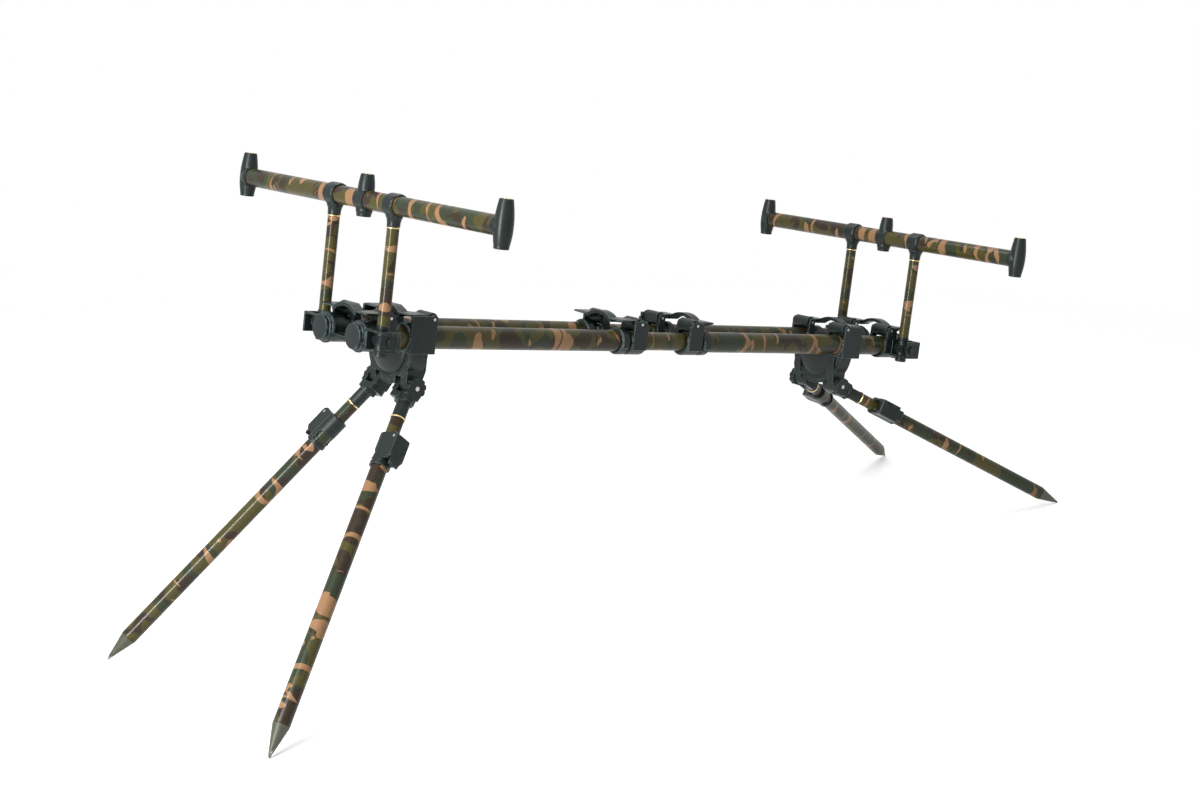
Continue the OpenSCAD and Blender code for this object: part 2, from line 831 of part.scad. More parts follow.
leg_lever(false, true);  // right_near_leg_lever
leg_lever(false, false);  // right_far_leg_lever
lever_pin(true, true);  // left_near_lever_pin
lever_pin(true, false);  // left_far_lever_pin
lever_pin(false, true);  // right_near_lever_pin
lever_pin(false, false);  // right_far_lever_pin
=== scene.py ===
# Rod pod: camouflage tubes, dark moulded fittings and bright pins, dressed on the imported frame.
import json
from math import cos, pi, radians, sin, sqrt

import bmesh
import bpy
from mathutils import Matrix, Vector

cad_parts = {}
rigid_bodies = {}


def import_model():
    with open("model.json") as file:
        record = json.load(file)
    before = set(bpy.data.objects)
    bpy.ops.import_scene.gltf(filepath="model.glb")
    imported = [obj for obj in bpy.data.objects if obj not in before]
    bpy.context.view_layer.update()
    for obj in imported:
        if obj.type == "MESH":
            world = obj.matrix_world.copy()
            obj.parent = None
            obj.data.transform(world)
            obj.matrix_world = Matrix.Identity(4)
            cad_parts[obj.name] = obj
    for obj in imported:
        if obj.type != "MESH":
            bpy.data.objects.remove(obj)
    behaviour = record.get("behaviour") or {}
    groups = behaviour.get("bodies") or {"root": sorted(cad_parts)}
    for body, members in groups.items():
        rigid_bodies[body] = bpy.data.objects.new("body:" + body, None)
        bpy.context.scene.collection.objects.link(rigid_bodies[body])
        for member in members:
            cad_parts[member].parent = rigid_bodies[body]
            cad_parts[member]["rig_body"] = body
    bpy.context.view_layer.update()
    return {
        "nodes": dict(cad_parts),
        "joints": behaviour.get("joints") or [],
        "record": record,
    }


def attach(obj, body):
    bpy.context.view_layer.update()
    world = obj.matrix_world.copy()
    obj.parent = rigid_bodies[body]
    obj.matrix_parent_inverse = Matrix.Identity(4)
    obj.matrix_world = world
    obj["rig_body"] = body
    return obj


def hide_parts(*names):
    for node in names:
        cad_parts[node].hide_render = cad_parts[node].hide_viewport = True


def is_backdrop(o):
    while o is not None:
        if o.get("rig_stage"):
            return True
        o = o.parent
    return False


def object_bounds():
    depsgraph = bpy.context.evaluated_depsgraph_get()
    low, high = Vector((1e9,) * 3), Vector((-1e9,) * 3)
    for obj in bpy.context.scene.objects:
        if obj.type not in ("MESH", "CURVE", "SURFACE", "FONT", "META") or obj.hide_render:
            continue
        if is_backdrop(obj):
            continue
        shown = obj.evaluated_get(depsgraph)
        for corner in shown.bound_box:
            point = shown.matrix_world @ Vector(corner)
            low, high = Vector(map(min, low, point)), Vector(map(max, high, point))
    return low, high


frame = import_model()

# Camera: it stands where the photograph was taken, near the left end and a little above the bars.
# Its place and lens were solved from the pod's own tubes and spikes.
camera_place = (-1.5134, -1.6866, 0.7958)
camera_tilt, camera_heading = radians(75.77), radians(-40.63)
lens_mm, film_mm = 58.0, 36.0

scene = bpy.context.scene
scene.view_settings.view_transform = "Standard"
camera_data = bpy.data.cameras.new("camera")
camera_data.sensor_width = film_mm
camera_data.lens = lens_mm
camera = bpy.data.objects.new("camera", camera_data)
camera.location = camera_place
camera.rotation_euler = (camera_tilt, 0, camera_heading)
scene.collection.objects.link(camera)
scene.camera = camera

# Rails: two 21.6 mm aluminium tubes that slide in four 25 mm ones, all printed in woodland camouflage.
# Each tube carries its own place along and round itself, so the print wraps it without a seam, and its
# cut ends are marked as worn, where the print has rubbed off to bare metal.
joint = {j["name"]: j for j in frame["joints"]}
ends = (("left", -1), ("right", 1))
along = Vector(joint["right_beam_slide"]["axis"])
across = Vector((0, 1, 0))
upward = along.cross(across)
pod = Matrix((along, across, upward)).transposed().to_4x4()
pod.translation = (
    Vector(joint["left_buzz_fold"]["pos_m"]) + Vector(joint["right_buzz_fold"]["pos_m"])) / 2
to_rail = Matrix.Rotation(radians(90), 4, "Y")

rail_aside, rail_wall = 0.03125, 0.0014
inner_half, inner_radius = 0.260, 0.0108
outer_from, outer_to, outer_radius = 0.060, 0.434, 0.0125
broken_edge, broken_share = 0.0005, 0.4
seam_gap, crease_angle = 1e-6, radians(38)

camo_olive = (0.056, 0.048, 0.011, 1)
camo_green = (0.023, 0.031, 0.014, 1)
camo_brown = (0.027, 0.017, 0.009, 1)
camo_tan = (0.265, 0.145, 0.068, 1)
bare_aluminium = (0.60, 0.60, 0.58, 1)
# Each layer of the print has its paint, the stretch and place of its blobs, and how rare they are.
camo_layers = (
    (camo_green, (20, 20, 26), (0.0, 0.0, 0.0), 0.52),
    (camo_brown, (22, 22, 30), (3.1, 1.7, 5.3), 0.555),
    (camo_tan, (18, 18, 52), (7.7, 4.2, 2.9), 0.603),
)
print_blur = 0.006
# Each tube starts at its own place in the print, moved on by a step for its distance from the middle.
inner_print, inner_print_step = 3.1, 20
outer_print, outer_print_step = 1.0, 31
print_drift = (0.37, 0.21)


def link(tree, start, end):
    tree.links.new(start, end)


def new_group(name, inputs, outputs):
    """Starts a shader group whose first input is a vector and whose other sockets are numbers."""
    group = bpy.data.node_groups.new(name, "ShaderNodeTree")
    group.interface.new_socket("Vector", in_out="INPUT", socket_type="NodeSocketVector")
    for label in inputs:
        group.interface.new_socket(label, in_out="INPUT", socket_type="NodeSocketFloat")
    for label in outputs:
        group.interface.new_socket(label, in_out="OUTPUT", socket_type="NodeSocketFloat")
    return group, group.nodes.new("NodeGroupInput"), group.nodes.new("NodeGroupOutput")


def fine_grain_group():
    """A fine surface grain, and a slow cloud of tone twenty-five times its size."""
    group, start, end = new_group("fine_grain", ["Scale"], ["Grain", "Cloud"])
    for label, share in (("Grain", 1.0), ("Cloud", 0.04)):
        size = group.nodes.new("ShaderNodeMath")
        size.operation = "MULTIPLY"
        size.inputs[1].default_value = share
        link(group, start.outputs["Scale"], size.inputs[0])
        noise = group.nodes.new("ShaderNodeTexNoise")
        noise.inputs["Detail"].default_value = 3
        link(group, start.outputs["Vector"], noise.inputs["Vector"])
        link(group, size.outputs[0], noise.inputs["Scale"])
        link(group, noise.outputs["Fac"], end.inputs[label])
    return group


def rubbed_edges_group():
    """Where a marked edge is paler, broken up by noise: rubbed through on painted tubes, partly rubbed
    and partly a painted highlight on mouldings.
    """
    group, start, end = new_group("edge_wear_and_highlight", ["Scale", "Edge", "Amount"], ["Mask"])
    noise = group.nodes.new("ShaderNodeTexNoise")
    noise.inputs["Detail"].default_value = 4
    link(group, start.outputs["Vector"], noise.inputs["Vector"])
    link(group, start.outputs["Scale"], noise.inputs["Scale"])
    push = group.nodes.new("ShaderNodeMath")
    push.operation = "MULTIPLY_ADD"
    link(group, start.outputs["Edge"], push.inputs[0])
    link(group, start.outputs["Amount"], push.inputs[1])
    link(group, noise.outputs["Fac"], push.inputs[2])
    mask = group.nodes.new("ShaderNodeMapRange")
    mask.inputs["From Min"].default_value = 0.98
    mask.inputs["From Max"].default_value = 1.16
    link(group, push.outputs[0], mask.inputs["Value"])
    link(group, mask.outputs["Result"], end.inputs["Mask"])
    return group


fine_grain = fine_grain_group()
edge_wear_and_highlight = rubbed_edges_group()


def effect(tree, group, vector, **values):
    """Places a shader group in a material with its own values."""
    node = tree.nodes.new("ShaderNodeGroup")
    node.node_tree = group
    link(tree, vector, node.inputs["Vector"])
    for label, value in values.items():
        node.inputs[label.title()].default_value = value
    return node


def mark(tree, name):
    """Reads what a mesh carries under a name."""
    node = tree.nodes.new("ShaderNodeAttribute")
    node.attribute_name = name
    return node


def ranged(tree, value, low, high, from_low=0.0, from_high=1.0):
    """Moves a value from one range to another."""
    node = tree.nodes.new("ShaderNodeMapRange")
    limits = (("From Min", from_low), ("From Max", from_high), ("To Min", low), ("To Max", high))
    for label, number in limits:
        node.inputs[label].default_value = number
    link(tree, value, node.inputs["Value"])
    return node.outputs["Result"]


def mixed(tree, blend, factor, first, second):
    """Adds a colour mix, each of whose three inputs is a socket or a plain value."""
    node = tree.nodes.new("ShaderNodeMix")
    node.data_type = "RGBA"
    node.blend_type = blend
    for at, value in ((0, factor), (6, first), (7, second)):
        if isinstance(value, bpy.types.NodeSocket):
            link(tree, value, node.inputs[at])
        else:
            node.inputs[at].default_value = value
    return node.outputs[2]


def bumped(tree, shader, height, strength, distance):
    """Raises the surface a little by a value."""
    node = tree.nodes.new("ShaderNodeBump")
    node.inputs["Strength"].default_value = strength
    node.inputs["Distance"].default_value = distance
    link(tree, height, node.inputs["Height"])
    link(tree, node.outputs["Normal"], shader.inputs["Normal"])


def new_material(name):
    material = bpy.data.materials.new(name)
    material.use_nodes = True
    return material, material.node_tree, material.node_tree.nodes["Principled BSDF"]


def rubbed(tree, shader, place, colour, under, scale, amount):
    """Mixes a second colour in along marked edges, and gives the mask for it: the bare metal under a coat
    on painted tubes, a paler edge on mouldings that is partly wear and partly painted highlight.
    """
    worn = effect(tree, edge_wear_and_highlight, place, scale=scale, amount=amount)
    link(tree, mark(tree, "worn_and_highlit_edge").outputs["Fac"], worn.inputs["Edge"])
    link(tree, mixed(tree, "MIX", worn.outputs["Mask"], colour, under), shader.inputs["Base Color"])
    return worn.outputs["Mask"]


def camouflage():
    """Printed and lacquered tube: three layers of blobs over olive."""
    material, tree, shader = new_material("camouflage_print")
    shader.inputs["Specular IOR Level"].default_value = 0.10
    shader.inputs["Coat Weight"].default_value = 0.25
    shader.inputs["Coat Roughness"].default_value = 0.14
    place = mark(tree, "tube_place").outputs["Vector"]
    colour = camo_olive
    for paint, stretch, shift, level in camo_layers:
        scale = tree.nodes.new("ShaderNodeMapping")
        scale.inputs["Scale"].default_value = stretch
        scale.inputs["Location"].default_value = shift
        link(tree, place, scale.inputs["Vector"])
        blobs = tree.nodes.new("ShaderNodeTexNoise")
        blobs.inputs["Scale"].default_value = 1.0
        blobs.inputs["Detail"].default_value = 2
        blobs.inputs["Roughness"].default_value = 0.45
        blobs.inputs["Distortion"].default_value = 0.8
        link(tree, scale.outputs["Vector"], blobs.inputs["Vector"])
        edge = ranged(tree, blobs.outputs["Fac"], 0, 1, level - print_blur, level + print_blur)
        colour = mixed(tree, "MIX", edge, colour, paint)
    grain = effect(tree, fine_grain, place, scale=900)
    colour = mixed(tree, "MULTIPLY", factor=0.35, first=colour, second=grain.outputs["Grain"])
    bare = rubbed(tree, shader, place, colour, bare_aluminium, scale=260, amount=0.62)
    link(tree, bare, shader.inputs["Metallic"])
    rough = ranged(tree, grain.outputs["Grain"], low=0.30, high=0.48)
    link(tree, rough, shader.inputs["Roughness"])
    bumped(tree, shader, grain.outputs["Grain"], strength=0.1, distance=0.0001)
    return material


camouflage_print = camouflage()


def pod_at(out, aside, rise=0):
    """A place in the pod's own frame: along the rails from its middle, across them and above them."""
    return pod @ Matrix.Translation((out, aside, rise))


def turned(outline, worn=(), steps=64):
    """Spins an outline of (radius, height) points round Z; worn numbers the points on marked edges,
    rubbed on painted tubes and partly rubbed, partly a painted highlight on mouldings.
    """
    part = bmesh.new()
    part.verts.layers.float_vector.new("tube_place")
    worn_and_highlit_edge = part.verts.layers.float.new("worn_and_highlit_edge")
    points = [part.verts.new((r, 0, z)) for r, z in outline]
    for at in worn:
        points[at][worn_and_highlit_edge] = 1
    edges = [part.edges.new(pair) for pair in zip(points, points[1:])]
    bmesh.ops.spin(
        part, geom=points + edges, axis=(0, 0, 1), angle=2 * pi, steps=steps, use_merge=True)
    bmesh.ops.remove_doubles(part, verts=part.verts, dist=seam_gap)
    bmesh.ops.recalc_face_normals(part, faces=part.faces)
    return part


def add_part(bm, part, place, print_place=(0, 0, 0)):
    """Marks a part's place in the print, puts it in the pod's frame and joins it to a mesh."""
    tube_place = part.verts.layers.float_vector["tube_place"]
    for vert in part.verts:
        vert[tube_place] = vert.co + Vector(print_place)
    bmesh.ops.transform(part, matrix=place, verts=part.verts)
    scratch = bpy.data.meshes.new("scratch")
    part.to_mesh(scratch)
    part.free()
    bm.from_mesh(scratch)
    bpy.data.meshes.remove(scratch)


def pipe(bm, low, high, radius, wall, place, print_at):
    """Adds a tube with broken edges between two heights; print_at picks its stretch of the print."""
    lip = min(broken_edge, wall * broken_share)
    part = turned([
        (radius - wall, low), (radius - lip, low), (radius, low + lip), (radius, high - lip),
        (radius - lip, high), (radius - wall, high), (radius - wall, low),
    ], worn=(0, 1, 4, 5, 6))
    add_part(bm, part, place, (print_at * print_drift[0], print_at * print_drift[1], print_at))


def finish_piece(name, bm, materials, body_name, nodes=()):
    """Makes a mesh a piece of the pod: shaded by its edges, on its body, in place of its CAD nodes."""
    for face in bm.faces:
        face.smooth = True
    for edge in bm.edges:
        edge.smooth = not edge.is_manifold or edge.calc_face_angle() < crease_angle
    mesh = bpy.data.meshes.new(name)
    bm.to_mesh(mesh)
    bm.free()
    for material in materials:
        mesh.materials.append(material)
    piece = bpy.data.objects.new(name, mesh)
    scene.collection.objects.link(piece)
    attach(piece, body_name)
    if nodes:
        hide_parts(*nodes)
    return piece


for side, aside in (("near", -rail_aside), ("far", rail_aside)):
    bm = bmesh.new()
    print_at = inner_print + aside * inner_print_step
    place = pod_at(0, aside) @ to_rail
    pipe(bm, -inner_half, inner_half, inner_radius, rail_wall, place, print_at)
    finish_piece(
        f"inner_rail_{side}", bm, [camouflage_print], "centre", [f"inner_tube_{side}"])

for end, outward in ends:
    bm = bmesh.new()
    low, high = sorted((outward * outer_from, outward * outer_to))
    for aside in (-rail_aside, rail_aside):
        print_at = outer_print + aside * outer_print_step
        pipe(bm, low, high, outer_radius, rail_wall, pod_at(0, aside) @ to_rail, print_at)
    finish_piece(
        f"{end}_outer_rails", bm, [camouflage_print], f"{end}_beam",
        [f"{end}_outer_tubes"])

# Buzz bars: a 20 mm aluminium bar across each end on two 13 mm uprights, in the same printed tube.
# The uprights stand in hinged feet and are tied to the bar near its middle.
bar_rise = 0.140
bar_radius, bar_wall = 0.01015, 0.0014
socket_half = {"left": 0.2355, "right": 0.2175}
bar_short = 0.005
upright_out, upright_aside, upright_radius = 0.4166, 0.0553, 0.0065
upright_low, upright_high = 0.005, 0.12935
bar_print = 5.0
upright_print, upright_print_step = 7.0, 17
to_bar = Matrix.Rotation(radians(-90), 4, "X")

for end, outward in ends:
    bm = bmesh.new()
    bar_half = socket_half[end] - bar_short
    place = pod_at(outward * upright_out, 0, bar_rise) @ to_bar
    pipe(bm, -bar_half, bar_half, bar_radius, bar_wall, place, bar_print + outward)
    finish_piece(
        f"{end}_bar_tube", bm, [camouflage_print], f"{end}_buzz", [f"{end}_buzz_bar"])
    bm = bmesh.new()
    for aside in (-upright_aside, upright_aside):
        print_at = upright_print + outward + aside * upright_print_step
        place = pod_at(outward * upright_out, aside)
        pipe(bm, upright_low, upright_high, upright_radius, bar_wall, place, print_at)
    finish_piece(
        f"{end}_upright_tubes", bm, [camouflage_print], f"{end}_buzz",
        [f"{end}_uprights"])

# Legs: a 15 mm upper tube in each knuckle, and an 18 mm lower one on it that ends in a ground spike.
# The spike is turned from solid bar, painted plain olive and worn bright towards its point.
leg_socket, leg_upper = 0.0415, 0.278
leg_in_radius, leg_out_radius, leg_wall = 0.0075, 0.0090, 0.0012
lower_top = 0.084
spike_length, spike_radius, spike_plug = 0.034, 0.0012, 0.010
shoulder_groove = 0.0004
spike_olive = (0.048, 0.050, 0.027, 1)
upper_print, lower_print, leg_print_step = 11, 20, 9
lower_drift = (5, 3)
legs = [f"{end}_{side}" for end, _ in ends for side in ("near", "far")]
leg_place = {}


def painted_spike():
    """Olive paint, clouded, and rubbed to bright metal at the point."""
    material, tree, shader = new_material("painted_spike")
    place = mark(tree, "tube_place").outputs["Vector"]
    grain = effect(tree, fine_grain, place, scale=1100)
    colour = mixed(tree, "MULTIPLY", factor=0.5, first=spike_olive, second=grain.outputs["Cloud"])
    bare = rubbed(tree, shader, place, colour, bare_aluminium, scale=320, amount=0.50)
    link(tree, bare, shader.inputs["Metallic"])
    rough = ranged(tree, grain.outputs["Grain"], low=0.36, high=0.56)
    link(tree, rough, shader.inputs["Roughness"])
    bumped(tree, shader, grain.outputs["Grain"], strength=0.2, distance=0.00012)
    return material


spike_paint = painted_spike()

for leg in legs:
    hip = Vector(joint[f"{leg}_leg_fold"]["pos_m"])
    down = Vector(joint[f"{leg}_leg_slide"]["axis"])
    lever_axis = Vector(joint[f"{leg}_leg_lever_turn"]["axis"])
    turn = Matrix((lever_axis, down.cross(lever_axis), down)).transposed().to_4x4()
    leg_place[leg] = Matrix.Translation(hip) @ turn
    print_at = hip.x + hip.y * leg_print_step
    bm = bmesh.new()
    upper_to = leg_socket + leg_upper
    pipe(bm, leg_socket, upper_to, leg_in_radius, leg_wall, leg_place[leg], upper_print + print_at)
    finish_piece(
        f"{leg}_upper_leg", bm, [camouflage_print], f"{leg}_leg_top",
        [f"{leg}_upper_tube"])
    # The blunt point touches the floor with its lower edge.
    tip = (hip.z - spike_radius * sqrt(1 - down.z ** 2)) / -down.z
    shoulder = tip - spike_length
    inner, groove = leg_out_radius - leg_wall, leg_out_radius - shoulder_groove
    lower = turned([
        (0, shoulder - spike_plug), (inner, shoulder - spike_plug), (inner, lower_top),
        (groove, lower_top), (leg_out_radius, lower_top + shoulder_groove),
        (leg_out_radius, shoulder - 3 * shoulder_groove), (groove, shoulder - 2 * shoulder_groove),
        (groove, shoulder - shoulder_groove), (leg_out_radius, shoulder),
        (spike_radius, tip - spike_radius / 2), (spike_radius / 2, tip), (0, tip),
    ], worn=(2, 3, 9, 10, 11))
    for face in lower.faces:
        face.material_index = int(face.calc_center_median().z > shoulder)
    bm = bmesh.new()
    print_place = (hip.y * lower_drift[0], hip.x * lower_drift[1], lower_print + print_at)
    add_part(bm, lower, leg_place[leg], print_place)
    finish_piece(
        f"{leg}_lower_leg", bm, [camouflage_print, spike_paint], f"{leg}_leg",
        [f"{leg}_lower_tube"])

# Mouldings: clamps, levers, brackets, leg blocks, knuckles and collars in satin grey-green nylon.
# Each keeps its solid's shape, with the corners rounded as a mould leaves them and painted paler along
# them, partly as wear in use and partly as a painted highlight.
moulding_colour = (0.0058, 0.0106, 0.0098, 1)
# The paler edge colour: partly rubbed wear, partly a painted highlight where light catches the rounded
# edges.
moulding_wear_and_highlight = (0.040, 0.057, 0.056, 1)
plain_rounding = 0.00045
other_roundings = {"clamp": 0.0008, "knuckle": 0.0003}
weld_gap, flat_angle, corner_angle = 2e-6, radians(0.6), radians(32)
panel_border, panel_sink = 0.0026, 0.0018
panel_facing, panel_slack = 0.99, 1e-4
turned_mouldings = ("end_caps", "upright_feet", "rod_sockets", "upright_ties")


def satin_moulding():
    """Moulded nylon with a fine grain, clouded a little in tone and sheen, and paler at its marked edges:
    partly wear, partly painted highlight.
    """
    material, tree, shader = new_material("satin_moulding")
    shader.inputs["Specular IOR Level"].default_value = 0.26
    place = tree.nodes.new("ShaderNodeTexCoord").outputs["Object"]
    grain = effect(tree, fine_grain, place, scale=1500)
    tone = ranged(tree, grain.outputs["Cloud"], low=0.74, high=1.26)
    colour = mixed(tree, "MULTIPLY", factor=1.0, first=moulding_colour, second=tone)
    # Marked edges are mixed towards the paler colour, partly as wear and partly as a painted highlight.
    rubbed(tree, shader, place, colour, moulding_wear_and_highlight, scale=240, amount=0.62)
    rough = ranged(tree, grain.outputs["Cloud"], low=0.28, high=0.44)
    link(tree, rough, shader.inputs["Roughness"])
    bumped(tree, shader, grain.outputs["Grain"], strength=0.25, distance=0.00015)
    return material


moulding = satin_moulding()


def sink_fork_panels(bm):
    """Sinks a panel into the outer face of each fork, inside a raised border."""
    reach = max(abs(vert.co.y) for vert in bm.verts)
    for side in (-1, 1):
        plate = [
            face for face in bm.faces
            if side * face.normal.y > panel_facing
            and side * face.calc_center_median().y > reach - panel_slack]
        bmesh.ops.inset_region(
            bm, faces=plate, thickness=panel_border, depth=-panel_sink, use_even_offset=True,
            use_boundary=True)


def moulded(node, rounding):
    """Copies a CAD node, merges its triangles, rounds its corners and marks them paler, partly as wear
    and partly as a painted highlight.
    """
    cad = frame["nodes"][node]
    bm = bmesh.new()
    bm.from_mesh(cad.data)
    worn_and_highlit_edge = bm.loops.layers.float.new("worn_and_highlit_edge")
    bmesh.ops.remove_doubles(bm, verts=bm.verts, dist=weld_gap)
    bmesh.ops.dissolve_limit(bm, angle_limit=flat_angle, verts=bm.verts, edges=bm.edges)
    bmesh.ops.connect_verts_concave(bm, faces=bm.faces)
    bm.normal_update()
    if node.endswith("end_bracket"):
        sink_fork_panels(bm)
    corners = [e for e in bm.edges if e.is_manifold and e.calc_face_angle() > corner_angle]
    rounded = bmesh.ops.bevel(
        bm, geom=corners, offset=rounding, offset_type="OFFSET", segments=3, profile=0.5,
        affect="EDGES", clamp_overlap=False, material=-1)
    # The rounded faces are marked for the paler edge colour: partly wear, partly a painted highlight.
    for face in rounded["faces"]:
        for loop in face.loops:
            loop[worn_and_highlit_edge] = 1
    piece = finish_piece(f"{node}_moulding", bm, [moulding], cad["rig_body"], [node])
    shading = piece.modifiers.new("even_shading", "WEIGHTED_NORMAL")
    shading.keep_sharp = True


for part in frame["record"]["subparts"]:
    node = part["node"]
    if part["material_slot"] == "moulding" and not node.endswith(turned_mouldings):
        moulded(node, other_roundings.get(node.split("_")[-1], plain_rounding))

# Fork plugs: moulded discs pressed over the outer ends of the fork pins, just proud of the panels'
# borders. They close the pin holes, so no steel shows on the outside of a fork.
fork_face, plug_radius, plug_depth = 0.0734, 0.0050, 0.0018
plug_proud, plug_edge = 0.0004, 0.0005

for end, outward in ends:
    bm = bmesh.new()
    for side in (-1, 1):
        plug = turned([
            (0, -plug_depth), (plug_radius, -plug_depth), (plug_radius, plug_proud - plug_edge),
            (plug_radius - plug_edge, plug_proud), (0, plug_proud),
        ])
        face_out = Matrix.Rotation(side * radians(-90), 4, "X")
        add_part(bm, plug, pod_at(outward * upright_out, side * fork_face) @ face_out)
    finish_piece(f"{end}_fork_plugs", bm, [moulding], f"{end}_beam")

# Drum faces: bulged moulded pads on both sides of each leg block, inside its ring grooves.
# They are moulded with the block, and stay clear of the knuckles as the legs fold.
drum_radius, drum_bulge, drum_root = 0.031, 0.0070, 0.0010
drum_half, drum_over_hips = 0.0107, 0.040
dome_steps = 10


def cut_flat(part, point, facing):
    """Cuts away what lies beyond a plane and closes the cut."""
    bmesh.ops.bisect_plane(
        part, geom=part.verts[:] + part.edges[:] + part.faces[:], plane_co=point, plane_no=facing,
        clear_outer=True)
    bmesh.ops.holes_fill(part, edges=[e for e in part.edges if e.is_boundary])
    bmesh.ops.recalc_face_normals(part, faces=part.faces)


for end, _ in ends:
    bm = bmesh.new()
    hips = [Vector(joint[f"{end}_{side}_leg_fold"]["pos_m"]) for side in ("near", "far")]
    outline = [(0, -drum_root), (drum_radius, -drum_root)]
    for i in range(dome_steps + 1):
        angle = pi / 2 * i / dome_steps
        outline.append((drum_radius * cos(angle), drum_bulge * sin(angle)))
    drum_place = pod.copy()
    drum_place.translation = (hips[0] + hips[1]) / 2 + upward * drum_over_hips
    for side in (-1, 1):
        pad = turned(outline)
        face_out = Matrix.Rotation(side * radians(90), 4, "Y")
        facing = Matrix.Translation((side * drum_half, 0, 0)) @ face_out
        bmesh.ops.transform(pad, matrix=facing, verts=pad.verts)
        cut_flat(pad, (0, 0, 0), (0, 0, 1))
        add_part(bm, pad, drum_place)
    finish_piece(f"{end}_drum_pads", bm, [moulding], f"{end}_head")

# End caps: moulded discs that plug the rails, with two wider rims behind, flat on the side of the fork.
# The face is slightly domed; the widest rim lies over the end of the bracket's sleeve.
cap_flat = 0.0135
cap_rims = ((0.0170, -0.0062, -0.0036), (0.0153, -0.0026, -0.0004), (0.0136, 0.0006, 0.0034))
cap_groove, cap_edge = 0.0020, 0.0004
cap_dome, cap_dome_half = 0.0004, 0.00032

for end, outward in ends:
    bm = bmesh.new()
    for aside in (-rail_aside, rail_aside):
        outline = [(0, cap_rims[0][1])]
        for radius, back, front in cap_rims:
            outline += [
                (radius - cap_groove, back), (radius - cap_edge, back), (radius, back + cap_edge),
                (radius, front - cap_edge), (radius - cap_edge, front), (radius - cap_groove, front),
            ]
        outline += [(radius / 2, front + cap_dome_half), (0, front + cap_dome)]
        # The rim edges are marked for the paler edge colour, partly wear and partly a painted highlight.
        worn = [
            at for at, (reach, _) in enumerate(outline)
            if any(abs(reach - rim[0]) < cap_edge for rim in cap_rims)]
        cap = turned(outline, worn)
        outside = aside / rail_aside
        cut_flat(cap, (0, outside * cap_flat, 0), (0, outside, 0))
        face_out = Matrix.Rotation(outward * radians(90), 4, "Y")
        add_part(bm, cap, pod_at(outward * outer_to, aside) @ face_out)
    finish_piece(f"{end}_cap_discs", bm, [moulding], f"{end}_beam", [f"{end}_end_caps"])

# Upright feet: moulded sleeves hinged in the forks, ringed above and below the hinge barrel.
# A pin through the barrel holds each foot, and the upright is bonded in its top.
foot_radius, foot_barrel = 0.0072, 0.0080
foot_low, foot_high = -0.0174, 0.015
foot_edge, foot_groove = 0.0006, 0.0004
foot_rings = (-0.0135, -0.0115, 0.0105, 0.0125)

for end, outward in ends:
    bm = bmesh.new()
    for aside in (-upright_aside, upright_aside):
        hinge = pod_at(outward * upright_out, aside)
        outline = [
            (0, foot_low), (foot_radius - foot_edge, foot_low), (foot_radius, foot_low + foot_edge)]
        for at in foot_rings:
            outline += [
                (foot_radius, at - foot_groove), (foot_radius - foot_groove, at),
                (foot_radius, at + foot_groove),
            ]
        outline += [
            (foot_radius, foot_high - foot_edge), (foot_radius - foot_edge, foot_high),
            (upright_radius, foot_high), (upright_radius, upright_low), (0, upright_low),
        ]
        add_part(bm, turned(outline), hinge)
        barrel = turned([
            (0, -foot_radius), (foot_barrel - foot_edge, -foot_radius),
            (foot_barrel, foot_edge - foot_radius), (foot_barrel, foot_radius - foot_edge),
            (foot_barrel - foot_edge, foot_radius), (0, foot_radius),
        ])
        add_part(bm, barrel, hinge @ to_bar)
    finish_piece(
        f"{end}_foot_sleeves", bm, [moulding], f"{end}_buzz", [f"{end}_upright_feet"])

# Rod sockets: tapered moulded posts on hubs round the bar, a stub below and a threaded mouth above.
# The outer two close over the bar's ends. Post, hub and stub run into one another as one moulding.
socket_up, socket_down, middle_down = 0.027, 0.022, 0.018
socket_girth, socket_belt, middle_girth = 0.0099, 0.002, 0.0090
socket_top, socket_foot = 0.0072, 0.0079
socket_edge, lip_height = 0.0006, 0.0030
insert_radius, insert_depth = 0.0055, 0.015
hub_radius, hub_inward, middle_hub = 0.0114, 0.0090, 0.0085
inside_bar = 0.006
curve_steps = 9
skin_grain, skin_passes = 0.00055, 6


def swell(girth, start, stop, radius):
    """Points of a post's side, from its girth at one height to a smaller radius at another."""
    for i in range(curve_steps + 1):
        share = i / curve_steps
        yield girth - (girth - radius) * (1 - cos(pi / 2 * share)), start + (stop - start) * share


def socket_mouth():
    """Points of the bore that takes the threaded insert."""
    return [
        (socket_top - socket_edge, socket_up), (insert_radius, socket_up),
        (insert_radius, socket_up - insert_depth), (0, socket_up - insert_depth),
    ]


def one_skin(piece):
    """Joins a moulding's overlapping shells into one skin with eased inner corners."""
    skin = piece.modifiers.new("one_skin", "REMESH")
    skin.mode = "VOXEL"
    skin.voxel_size = skin_grain
    skin.use_smooth_shade = True
    ease = piece.modifiers.new("eased_corners", "SMOOTH")
    ease.factor = 0.5
    ease.iterations = skin_passes


def end_socket(bm, place, outward_turn):
    """A post with a lipped foot, and the hub that closes over the bar's end."""
    lip_top = lip_height - socket_down
    outline = [
        (0, -socket_down), (socket_foot - socket_edge, -socket_down),
        (socket_foot, socket_edge - socket_down), (socket_foot, lip_top - socket_edge),
        (socket_foot - socket_edge, lip_top - socket_edge),
    ]
    outline += reversed(list(swell(socket_girth, -socket_belt, lip_top, socket_foot)))
    outline += swell(socket_girth, socket_belt, socket_up - socket_edge, socket_top)
    add_part(bm, turned(outline + socket_mouth()), place)
    hub = turned([
        (0, -bar_short), (bar_radius, -bar_short), (bar_radius, -hub_inward),
        (hub_radius - socket_edge, -hub_inward), (hub_radius, socket_edge - hub_inward),
        (hub_radius, -bar_short), (hub_radius - socket_edge, -socket_belt),
        (socket_girth - socket_edge, socket_belt), (socket_foot, bar_short),
        (0, bar_short + socket_belt),
    ])
    add_part(bm, hub, place @ outward_turn)


